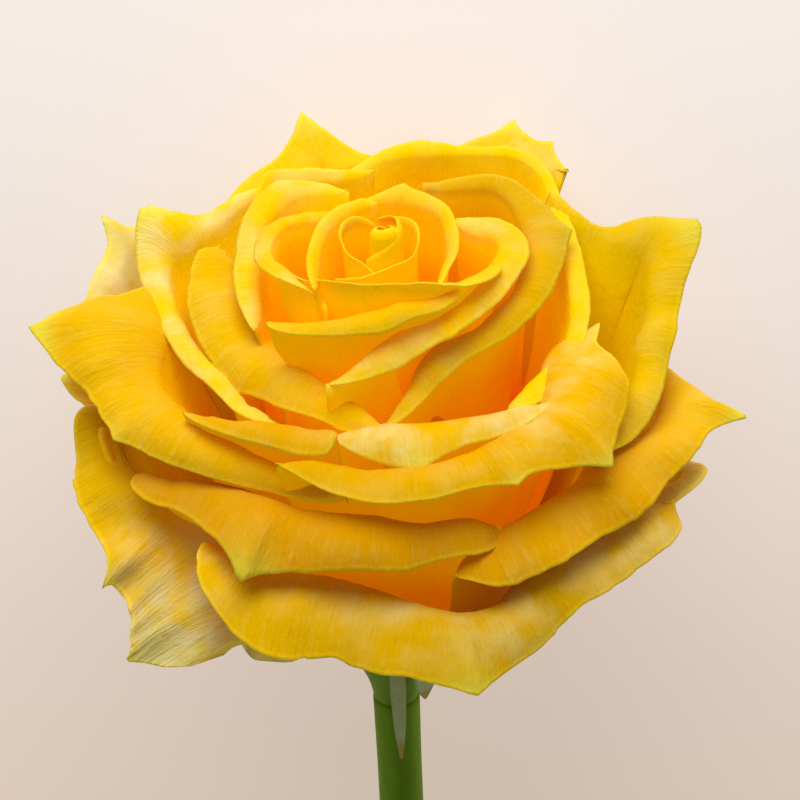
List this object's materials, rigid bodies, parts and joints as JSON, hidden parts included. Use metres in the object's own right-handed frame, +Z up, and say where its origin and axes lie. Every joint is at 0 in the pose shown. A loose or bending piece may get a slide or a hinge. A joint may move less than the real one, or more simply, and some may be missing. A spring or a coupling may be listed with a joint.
{
  "type": "cut rose",
  "caption": "Cut garden-type rose, a fully open layered yellow bloom with rolled petal rims on a short bare green stem, lying on its side.",
  "frame": {"origin": "middle of the flower's outline seen from above, on the surface that it lies on", "axes": "+Z up from the surface; the bloom faces -Y and the stem runs to +Y; the flower's axis lies in the YZ plane, 12.6 degrees above level towards the bloom, and the side that the picture shows lies uppermost"},
  "size_m": [0.1, 0.2042, 0.08],
  "materials": {
    "petal": "soft satin, warm yellow with paler rims and orange depths",
    "calyx": "matt grey-green, downy",
    "stem": "smooth fresh green bark, low sheen"
  },
  "bodies": {
    "root": {"bloom": "petal", "calyx": "calyx", "stem": "stem"}
  },
  "joints": []
}
